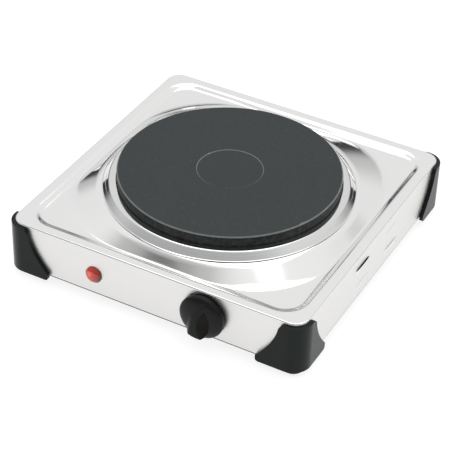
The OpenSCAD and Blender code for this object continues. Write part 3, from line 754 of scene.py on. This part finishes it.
# %% Build the sheet
corner_r, tray_corner, dome_corner, foot_in = 12, 21, 78, 15.2
flange_in, flange_corner, step_top, step_foot = 17, 4, -0.5, 4.5
bends = [0, 1.3, 1.4, 2.4, 2.4, 5.0, 9.0, 0]
hole_r, seat_r = plate_r + 4, ring_r + 1.6


def section(heading):
    """The sheet's section along one heading, from the flange to the dome's hole."""
    wall = square_reach(0, corner_r, heading)
    corners = [(square_reach(flange_in, flange_corner, heading), stand_z), (wall, stand_z), (wall, rim_z),
               (square_reach(rim_w + step_top, tray_corner - step_top, heading), rim_z),
               (square_reach(rim_w + step_foot, tray_corner - step_foot, heading), tray_z),
               (square_reach(foot_in, dome_corner, heading), tray_z),
               (circle_reach(seat_r, heading), seat_z), (circle_reach(hole_r, heading), seat_z)]
    return rounded_path(corners, bends, steps=8)


points, faces = [], []
for heading in headings:
    angle = math.radians(heading)
    for distance_out, z in section(angle):
        points.append((distance_out * math.cos(angle), body_y + distance_out * math.sin(angle), z))
rows = len(points) // len(headings)
for i in range(len(headings)):
    after = (i + 1) % len(headings)
    for j in range(rows - 1):
        faces.append((i * rows + j, after * rows + j, after * rows + j + 1, i * rows + j + 1))
sheet_piece = mesh_object("housing_sheet", points, faces, steel)
inward = {"offset": -1.0, "use_even_offset": True}
sheet_piece = modified(sheet_piece, ("SOLIDIFY", {"thickness": sheet * MM, **inward}))
print("sheet:", len(sheet_piece.data.polygons), "faces")

# %% [markdown]
# The openings are cut after the sheet has its thickness, so that their edges show it: a hole for the
# spindle, two for the thermostat's screws, one for the lamp, one for the cord gland, and a slot behind each
# louvre.

# %% Cut the openings
lens_low, lens_high = box_mm("lamp_lens")
gland_high = box_mm("cord_gland")[1]
stat_low, stat_high = box_mm("thermostat_screws")
spindle_x, _, control_z = middle_mm("spindle")
lamp_x, _, lamp_z = middle_mm("lamp_lens")
gland_x, _, gland_z = middle_mm("cord_gland")
stat_head_r = 3
stat_half = (stat_high.x - stat_low.x) / 2 - stat_head_r
front_y, back_y = housing_low.y, housing_high.y
louvre_l, louvre_h, louvre_out = 25.0, 5.5, housing_high.x - half
louvre_ahead, louvre_pitch, louvre_top, louvre_drop = 4, 28, rim_z - 17, 16.5
louvre_spots = [(side, body_y + louvre_ahead + column * louvre_pitch, louvre_top - row * louvre_drop)
                for side in (-1, 1) for column in (-1, 1) for row in (0, 1)]

cutter = bmesh.new()
round_holes = [(spindle_x, control_z, front_y, 5.4), (spindle_x - stat_half, control_z, front_y, 2.1),
               (spindle_x + stat_half, control_z, front_y, 2.1), (lamp_x, lamp_z, front_y, 5.95),
               (gland_x, gland_z, back_y, 6.5)]
for x, z, y, radius in round_holes:
    turn = Matrix.Translation(Vector((x, y, z)) * MM) @ Matrix.Rotation(math.pi / 2, 4, "X")
    bmesh.ops.create_cone(cutter, cap_ends=True, segments=48, radius1=radius * MM, radius2=radius * MM,
                          depth=6 * MM, matrix=turn)
for side, y, z in louvre_spots:
    size = Matrix.Diagonal((6, louvre_l - 2.4, louvre_h / 2, 1))
    spot = Matrix.Translation(Vector((side * half, y, z + louvre_h * 0.75 - 0.5)) * MM)
    bmesh.ops.create_cube(cutter, size=MM, matrix=spot @ size)
cutter_mesh = bpy.data.meshes.new("openings")
cutter.to_mesh(cutter_mesh)
cutter.free()
openings = placed("openings", cutter_mesh)
sheet_piece = modified(sheet_piece, ("BOOLEAN", {"operation": "DIFFERENCE", "object": openings,
                                                 "solver": "EXACT"}))
bpy.data.objects.remove(openings)
housing = modified(smooth(sheet_piece, 40), ("WEIGHTED_NORMAL", {"keep_sharp": True, "weight": 60}))
print("housing:", len(housing.data.polygons), "faces")

# %% [markdown]
# ## Louvres
# Each louvre is a shallow hood pressed out of the wall. It is flush along its lower edge and at its ends,
# and it stands out along its upper edge, where the air leaves. Eight hoods on two walls are a task for a
# tree: a grid is bent by a rule, and one copy goes to each seed point, turned to face out of its wall. The
# hoods are alike but are pressed out by different amounts, so each seed point also carries the size of its
# copy.

# %% Build the louvre tree and grow the hoods
hoods, h_in, h_out = start_tree("louvres", [("Length", "float"), ("Height", "float"), ("Reach", "float"),
                                            ("Material", "material")])
length, tall = h_in.outputs["Length"], h_in.outputs["Height"]
grid = add_node(hoods, "GeometryNodeMeshGrid", Vertices_X=29, Vertices_Y=9, Size_X=length, Size_Y=tall)
flat = split(add_node(hoods, "GeometryNodeInputPosition").outputs[0])
along = maths("DIVIDE", flat["X"], maths("MULTIPLY", length, 0.5))
lift = maths("ADD", maths("DIVIDE", flat["Y"], tall), 0.5, clamp=True)
fourth = maths("POWER", maths("ABSOLUTE", along), 4.0)
ends = maths("POWER", maths("SUBTRACT", 1.0, fourth, clamp=True), 0.6)
bulge = maths("MULTIPLY", ends, maths("POWER", lift, 0.8))
bent = add_node(hoods, "ShaderNodeCombineXYZ", Y=flat["X"],
                X=maths("MULTIPLY", bulge, h_in.outputs["Reach"]),
                Z=maths("ADD", flat["Y"], maths("MULTIPLY", tall, 0.5)))
shape = add_node(hoods, "GeometryNodeSetPosition", Geometry=grid.outputs["Mesh"], Position=bent.outputs[0])
spots = add_node(hoods, "GeometryNodeMeshToPoints", Mesh=h_in.outputs["Geometry"])
copies = add_node(hoods, "GeometryNodeInstanceOnPoints", Points=spots.outputs[0], Instance=shape.outputs[0],
                  Rotation=named_vector(hoods, "turn"), Scale=named_vector(hoods, "size"))
finish_tree(hoods, copies.outputs[0], h_in, h_out)

pressed = (1.0, 0.12, 0.12, 0.42) * 2
louvres = grow("louvre_hoods", hoods, [(side * half, y, z) for side, y, z in louvre_spots], [],
               vectors={"turn": [(0, 0, 0 if side > 0 else math.pi) for side, y, z in louvre_spots],
                        "size": [(share, 1, 1) for share in pressed]},
               Length=louvre_l * MM, Height=louvre_h * MM, Reach=louvre_out * MM, Material=steel)
louvres = smooth(modified(louvres, ("SOLIDIFY", {"thickness": 0.6 * MM, "offset": -1.0})), 45)
print("louvres:", len(louvre_spots), "hoods,", len(louvres.data.polygons), "faces")

# %% [markdown]
# ## Corner guards
# A guard is a glossy black moulding that wraps a corner and turns in under it as a foot. Seen unrolled, it
# is a strip that is narrow at the top and flares towards the foot on a curve. It is built unrolled: rows go
# up, and columns run along the wall, round the corner and along the next wall, and each point is then
# wrapped on. A thickness and a small bevel finish it, because light needs a rounded edge to catch.

# %% Model the guards
guard_t, guard_z, guard_top_z = 3.3, guard_low.z, guard_high.z
face_x = guard_high.x
wrap_r = corner_r + 0.1 + guard_t
run_top, run_foot, foot_h, foot_round, tip_h = 21.5, 40.0, 6, 2.5, 4.5


def quarter(share):
    """How far a quarter circle of radius 1 has fallen at a distance along it; nothing before 0."""
    return 1 - math.sqrt(max(0.0, 1 - max(0.0, share) ** 2))


def guard_run(z, top_z):
    """How far a guard reaches along a wall from its outer corner, at height z."""
    low, tip = guard_z + foot_h, top_z - tip_h
    if z <= low:
        return run_foot - foot_round * quarter((guard_z + foot_round - z) / foot_round)
    t = max(0.0, min(1.0, (guard_top_z - z) / (guard_top_z - low)))
    return run_top + (run_foot - run_top) * t ** 1.8 - tip_h * quarter((z - tip) / tip_h)


def wrap(length):
    """The place on the guard's outer face at a length from its middle, as seen from above."""
    arc = wrap_r * math.pi / 4
    if length <= arc:
        turn = math.pi / 4 - length / wrap_r
        return face_x - wrap_r + wrap_r * math.cos(turn), face_x - wrap_r + wrap_r * math.sin(turn)
    return face_x, face_x - wrap_r - (length - arc)


def length_to(run):
    """The length from a guard's middle to a reach along the wall."""
    if run >= wrap_r:
        return wrap_r * math.pi / 4 + run - wrap_r
    return wrap_r * (math.pi / 4 - math.asin((wrap_r - run) / wrap_r))


def guard_points(top_z):
    """Rows of points on the outer face of the guard at +X +Y, about the housing's centre."""
    between = top_z - guard_z - foot_h - tip_h
    levels = [guard_z + v for v in (0, 0.3, 0.8, 1.5, 2.5, 4, foot_h)]
    levels += [guard_z + foot_h + between * i / 16 for i in range(1, 17)]
    levels += [top_z - v for v in (3.4, 2.4, 1.6, 0.9, 0.4, 0.1, 0)]
    columns = 30
    rows = []
    for z in levels:
        reach = length_to(guard_run(z, top_z))
        side = [wrap(reach * c / columns) for c in range(columns + 1)]
        rows.append([(y, x, z) for x, y in reversed(side[1:])] + [(x, y, z) for x, y in side])
    return rows


def grid_faces(rows, columns, closed=False, start=0):
    """Quads between rows of points; closed joins each row's end to its beginning."""
    faces = []
    for row in range(rows - 1):
        for column in range(columns if closed else columns - 1):
            a, b = (start + row * columns + c % columns for c in (column, column + 1))
            faces.append((a, b, b + columns, a + columns))
    return faces


def flipped(faces):
    """The same faces, looking the other way."""
    return [tuple(reversed(face)) for face in faces]


def make_guard(corner, sx, sy):
    """One guard: its wrapped shell, and the foot plate that turns in under the housing."""
    name = "guard_moulding_" + corner
    mirrored = sx * sy < 0
    rows = guard_points(box_mm("guard_" + corner)[1].z)
    points = [(sx * x, body_y + sy * y, z) for row in rows for x, y, z in row]
    faces = grid_faces(len(rows), len(rows[0]))
    shell = mesh_object(name, points, faces if mirrored else flipped(faces), guard_plastic)
    shell = modified(shell, ("SOLIDIFY", {"thickness": guard_t * MM, **inward}),
                     ("BEVEL", {"width": 0.9 * MM, "segments": 3, "limit_method": "ANGLE",
                                "angle_limit": math.radians(50)}))
    foot_reach, foot_skin, foot_top = 28.8, 1.7, base_low.z - 0.1
    inner, outer = face_x - foot_reach, face_x - foot_skin
    bend, bend_r = face_x - wrap_r, wrap_r - foot_skin
    turns = [math.radians(a) for a in range(0, 91, 6)]
    arc = [(bend + bend_r * math.cos(a), bend + bend_r * math.sin(a)) for a in turns]
    plan = [(inner, inner), (outer, inner), *arc, (inner, outer)]
    count = len(plan)
    points = [(sx * x, body_y + sy * y, z) for z in (guard_z, foot_top) for x, y in plan]
    faces = [tuple(reversed(range(count))), tuple(range(count, 2 * count))]
    faces += grid_faces(2, count, closed=True)
    foot = mesh_object(name + "_foot", points, flipped(faces) if mirrored else faces, guard_plastic)
    foot = modified(foot, ("BEVEL", {"width": 0.5 * MM, "segments": 2, "limit_method": "ANGLE"}))
    return join_pieces(shell, foot)


def join_pieces(first, *others):
    """Puts the meshes of several objects in the first one."""
    work = bmesh.new()
    for piece in (first, *others):
        work.from_mesh(piece.data)
    work.to_mesh(first.data)
    work.free()
    for piece in others:
        bpy.data.objects.remove(piece)
    return modified(smooth(first, 40), ("WEIGHTED_NORMAL", {"keep_sharp": True}))


CORNERS = {"front_left": (-1, -1), "front_right": (1, -1), "back_left": (-1, 1), "back_right": (1, 1)}
guards = {corner: make_guard(corner, *signs) for corner, signs in CORNERS.items()}
print("guards:", len(guards), "of", len(guards["front_left"].data.polygons), "faces")

# %% [markdown]
# ## Rubber pads
# A pad is turned: a puck with a softened lower edge, a ring that grips, and a counterbore for its screw's
# head.

# %% Turn the pads
pads = {}
for corner in CORNERS:
    low, high = box_mm("foot_pad_" + corner)
    x, y, _ = middle_mm("foot_pad_" + corner)
    r, top = (high.x - low.x) / 2, high.z
    outline = [(5.2, 0), (6.4, 0), (6.8, 0.5), (7.4, 0.5), (7.8, 0), (r - 1.2, 0), (r, 1.5), (r, top - 0.5),
               (r - 0.5, top), (1.7, top), (1.7, 3.7), (5.0, 3.7), (5.0, 0.3)]
    outline = rounded_path(outline, [0.2] * 6 + [1.0] + [0.3] * 6, steps=3)
    pads[corner] = turned_piece("pad_" + corner, outline, (x, y, 0), pad_rubber, steps=64)
print("pads:", len(pads))

# %% [markdown]
# ## The knob
# The knob is a shallow dome with a grip across it. The grip is wide at its lower end and runs up to a point
# past the middle. A leaf-shaped scoop on one side of it gives a finger room. It could be sculpted, or cut
# with booleans. Here it is a surface of heights: for each place on the disc, a few rules give how far the
# knob stands out, so the crease at the scoop stays crisp and the rest stays smooth. A groove shows where it
# points.

# %% Rules for the knob's face
knob_low, knob_high = box_mm("knob")
knob_r = (knob_high.x - knob_low.x) / 2
knob_tilt = math.radians(-9)
edge_out, crown_out, grip_out = 3.5, 9.0, 12.0
grip_end, grip_tip = -0.78 * knob_r, 0.56 * knob_r
scoop_low, scoop_high, scoop_half, scoop_deep = 6.2, 3.4, 4.9, 3.2
groove_wide, groove_sunk = 0.9, 0.3


def mixed(first, second, share):
    """Blends two values, with the share held between 0 and 1."""
    share = max(0.0, min(1.0, share))
    return first + (second - first) * share


def eased(value):
    """A soft step from 0 to 1."""
    value = max(0.0, min(1.0, value))
    return value * value * (3 - 2 * value)


def crown(distance_out):
    """The dome's height at a distance from the knob's axis."""
    return edge_out + (crown_out - edge_out) * math.sqrt(max(0.0, 1 - (distance_out / knob_r) ** 2))


def on_grip(x, z):
    """A place on the face as the grip sees it: across it, along it, and the share of its length passed."""
    u = x * math.cos(knob_tilt) + z * math.sin(knob_tilt)
    v = z * math.cos(knob_tilt) - x * math.sin(knob_tilt)
    return u, v, (v - grip_end) / (grip_tip - grip_end)


def in_scoop(x, z):
    """Whether a place on the knob's face lies in the leaf-shaped scoop."""
    u, _, rising = on_grip(x, z)
    leaf = (scoop_half - 0.2) * (1 - (2 * rising - 1) ** 2)
    return 0.05 < rising < 1 and abs(u - mixed(scoop_low, scoop_high, rising)) < leaf


def knob_height(x, z):
    """How far the face stands out at (x, z), about the knob's axis."""
    side, v, rising = on_grip(x, z)
    u = abs(side)
    base = crown(math.hypot(x, z))
    if rising >= 1:
        ends = eased((v - 0.62 * knob_r) * 2) * eased((0.86 * knob_r - v) * 2)
        return base - groove_sunk * eased((groove_wide - u) * 3) * ends
    crest = mixed(grip_out, crown(grip_tip), rising ** 1.8 if rising > 0 else 0) - 0.9 * (u / 6.4) ** 2
    crest = mixed(base, max(base, crest), eased(1 + (v - grip_end) / 2.4))
    if side < 0:
        return mixed(crest, base, eased((u - 4.5) / 5.5))
    middle = mixed(scoop_low, scoop_high, rising)
    reach = scoop_half * max(0.0, 1 - (2 * max(0.0, rising) - 1) ** 2)
    if u <= middle - reach:
        return crest
    if u >= middle + reach:
        return mixed(crest, base, (u - middle) / 1.2) if rising < 0.1 else base
    across = (u - middle + reach) / (2 * reach)
    hollow = scoop_deep * math.sin(math.pi * across) ** 0.8 * math.sin(math.pi * rising) ** 0.6
    return mixed(crest, base, 1 - (1 - across) ** 1.6) - hollow


# %% Model the knob
knob_x = (knob_low.x + knob_high.x) / 2
around, across = 288, 72
full_turn = [2 * math.pi * j / around for j in range(around)]
points = [(knob_x, knob_high.y - knob_height(0, 0), control_z)]
for i in range(1, across + 1):
    reach = knob_r * math.sin(0.5 * math.pi * i / across) ** 0.9
    for turn in full_turn:
        x, z = reach * math.cos(turn), reach * math.sin(turn)
        points.append((knob_x + x, knob_high.y - knob_height(x, z), control_z + z))
hub_r, wall_in, hollow = 6.2, knob_r - 2, 2.4
rim_and_back = [(knob_r, 0.5), (knob_r - 0.5, 0), (wall_in, 0), (wall_in, hollow), (hub_r, hollow),
                (hub_r, 0)]
for reach, out in rim_and_back:
    points += [(knob_x + reach * math.cos(turn), knob_high.y - out, control_z + reach * math.sin(turn))
               for turn in full_turn]
points.append((knob_x, knob_high.y, control_z))
faces = [(0, 1 + (j + 1) % around, 1 + j) for j in range(around)]
rings = (len(points) - 2) // around
faces += grid_faces(rings, around, closed=True, start=1)
last = 1 + (rings - 1) * around
faces += [(last + j, last + (j + 1) % around, len(points) - 1) for j in range(around)]
knob = mesh_object("control_knob", points, faces, knob_plastic)
# The scoop's faces get the second finish, which paints shade into the scoop.
knob.data.materials.append(scoop_painted_shade)
for face in knob.data.polygons:
    if face.center.y < (knob_high.y - edge_out) * MM:
        face.material_index = int(in_scoop(face.center.x / MM - knob_x, face.center.z / MM - control_z))
knob = modified(knob, ("SMOOTH", {"factor": 0.5, "iterations": 2}))
knob = tidy(knob, angle=32)
print("knob:", len(knob.data.polygons), "faces")

# %% [markdown]
# ## The lamp's lens and the cord gland
# Both are turned about an axis that runs front to back. The tree turns them about Z and lays them down with
# its rotation input. The lens has a narrow flange and a dome; the gland has a flange, a tapered nose and
# its bore.

# %% Turn the lens and the gland
lens_r, lens_reach, flange_h = (lens_high.x - lens_low.x) / 2, front_y - lens_low.y, 1.3
stem_r, dome_r, dome_h = lens_r - 1.4, lens_r - 0.7, lens_reach - flange_h
dome_points = [(dome_r * math.cos(math.radians(a)), flange_h + dome_h * math.sin(math.radians(a)))
               for a in range(0, 91, 9)]
outline = [(0, -8), (stem_r, -8), (stem_r, 0), (lens_r - 0.2, 0), (lens_r, 0.3), (lens_r, 1.0),
           (lens_r - 0.3, flange_h)]
lens = turned_piece("lamp_dome", outline + dome_points, (lamp_x, front_y, lamp_z), lens_red, steps=72,
                    rotation=(math.pi / 2, 0, 0), angle=50)

bore, reach = 3.6, gland_high.y - back_y
outline = [(bore, -12), (6.4, -12), (6.4, 0), (9, 0), (9, 2.4), (8.4, 3), (7.7, 3), (7.3, 4.2),
           (6.2, reach - 0.8), (5.4, reach), (bore + 0.7, reach), (bore, reach - 0.7)]
gland = turned_piece("gland_body", rounded_path(outline, [0.2] * 12, steps=3), (gland_x, back_y, gland_z),
                     gland_plastic, steps=72, rotation=(-math.pi / 2, 0, 0))
print("lens and gland turned")

# %% [markdown]
# ## Screws
# Screws hold the base and the pads, and more sit in the thermostat and the terminals. They are all one
# shape in different sizes: a pan head with a cross in it, and a plain shank. So one tree makes them. It
# sets a copy on every seed point and turns it the way that the screw looks. The places are the middles of
# the CAD's own screws, which are separate shells in one node.

# %% Build the screw tree
screws, s_in, s_out = start_tree("screws", [("Head Radius", "float"), ("Head Height", "float"),
                                            ("Shank Radius", "float"), ("Length", "float"),
                                            ("Material", "material")])
head_r, head_h, length = (s_in.outputs[label] for label in ("Head Radius", "Head Height", "Length"))
head = add_node(screws, "GeometryNodeMeshCone", Vertices=32, Radius_Bottom=head_r, Depth=head_h,
                Radius_Top=maths("MULTIPLY", head_r, 0.72))
cut = add_node(screws, "GeometryNodeMeshBoolean", operation="DIFFERENCE", Mesh_1=head.outputs["Mesh"])
raised = add_node(screws, "ShaderNodeCombineXYZ", Z=head_h)
for wide, deep in ((1.3, 0.24), (0.24, 1.3)):
    sizes = add_node(screws, "ShaderNodeCombineXYZ", X=maths("MULTIPLY", head_r, wide),
                     Y=maths("MULTIPLY", head_r, deep), Z=head_h)
    bar = add_node(screws, "GeometryNodeMeshCube", Size=sizes.outputs[0])
    slot = add_node(screws, "GeometryNodeTransform", Geometry=bar.outputs["Mesh"],
                    Translation=raised.outputs[0])
    feed(cut, Mesh_2=slot.outputs[0])
shank = add_node(screws, "GeometryNodeMeshCylinder", Vertices=20, Radius=s_in.outputs["Shank Radius"],
                 Depth=length)
downward = add_node(screws, "ShaderNodeCombineXYZ", Z=maths("MULTIPLY", length, -0.499))
lowered = add_node(screws, "GeometryNodeTransform", Geometry=shank.outputs["Mesh"],
                   Translation=downward.outputs[0])
whole = add_node(screws, "GeometryNodeJoinGeometry", Geometry=lowered.outputs[0])
feed(whole, Geometry=cut.outputs["Mesh"])
at_points = add_node(screws, "GeometryNodeMeshToPoints", Mesh=s_in.outputs["Geometry"])
set_screws = add_node(screws, "GeometryNodeInstanceOnPoints", Points=at_points.outputs[0],
                      Instance=whole.outputs[0], Rotation=named_vector(screws, "turn"))
finish_tree(screws, set_screws.outputs[0], s_in, s_out)


def shells(node):
    """The low and high corners, in mm, of each separate shell in a CAD node."""
    work = bmesh.new()
    work.from_mesh(nodes[node].data)
    bmesh.ops.remove_doubles(work, verts=work.verts, dist=0.001 * MM)
    left, found = set(work.verts), []
    while left:
        group, queue = [], [left.pop()]
        while queue:
            vertex = queue.pop()
            group.append(vertex.co.copy())
            for edge in vertex.link_edges:
                other = edge.other_vert(vertex)
                if other in left:
                    left.remove(other)
                    queue.append(other)
        found.append([Vector(pick(p[i] for p in group) for i in range(3)) / MM for pick in (min, max)])
    work.free()
    return sorted(found, key=lambda corners: tuple(round(v, 2) for v in corners[0]))


def screw_set(node, head_r, head_h, shank_r, facing, finish):
    """Screws that replace a CAD node; facing is the way that their heads look."""
    seeds, length = [], 0
    for low, high in shells(node):
        middle = (low + high) / 2
        axis = max(range(3), key=lambda i: abs(facing[i]))
        top = high[axis] if facing[axis] > 0 else low[axis]
        middle[axis] = top - facing[axis] * head_h
        length = high[axis] - low[axis] - head_h
        seeds.append(middle)
    turn = Vector((0, 0, 1)).rotation_difference(Vector(facing)).to_euler()
    made = grow(node + "_crossed", screws, seeds, [], vectors={"turn": [tuple(turn)] * len(seeds)},
                Head_Radius=head_r * MM, Head_Height=head_h * MM, Shank_Radius=shank_r * MM,
                Length=length * MM, Material=finish)
    print(node, len(seeds), "screws")
    return smooth(made, 35)


# %% Grow the screws
screw_kinds = {"base_screws": (3.2, 1.8, 1.6, (0, 0, -1), zinc, "zinc_steel"),
               "foot_screws": (3.2, 1.8, 1.6, (0, 0, -1), zinc, "zinc_steel"),
               "thermostat_screws": (3.0, 1.8, 1.6, (0, -1, 0), zinc, "zinc_steel"),
               "terminal_screws": (2.2, 1.2, 1.5, (0, 0, 1), brass, "brass")}
screw_pieces = {node: screw_set(node, *kind[:5]) for node, kind in screw_kinds.items()}

# %% Set every piece on its body
dressed = [(housing, "top_housing", "polished_steel"), (plate, "hot_plate", "plate_iron"),
           (spill, "spill_ring", "polished_steel"), (lens, "lamp_lens", "lamp_red"),
           (gland, "cord_gland", "gland_plastic")]
dressed += [(guards[c], "guard_" + c, "guard_plastic") for c in CORNERS]
dressed += [(pads[c], "foot_pad_" + c, "pad_rubber") for c in CORNERS]
dressed += [(piece, node, screw_kinds[node][5]) for node, piece in screw_pieces.items()]
for piece, node, slot in dressed:
    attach(piece, "root")
    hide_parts(node)
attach(louvres, "root")
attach(knob, "control")
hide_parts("knob")

# %% Finish the nodes that stay as the CAD made them
alike = [(base_paint, "base_plate"), (coil_wire, "heating_coils"), (aluminised, "heat_shield"),
         (ceramic, "insulation_rings plate_terminals thermostat_body"), (nylon, "lamp_holder terminal_block"),
         (zinc, "plate_cover clamp_stud clamp_bridge clamp_nut thermostat_frame"),
         (zinc, "spindle knob_spring lamp_clip"), (gland_plastic, "gland_nut"), (brass, "earth_screw"),
         (sleeve_blue, "wire_neutral"), (sleeve_brown, "wire_live wire_switched lamp_leads"),
         (sleeve_earth, "wire_earth")]
kept = {node: finish for finish, names in alike for node in names.split()}
for node, finish in kept.items():
    mesh = nodes[node].data
    mesh.materials.clear()
    mesh.materials.append(finish)
print("pieces:", len(dressed) + 2, "kept nodes:", len(kept))
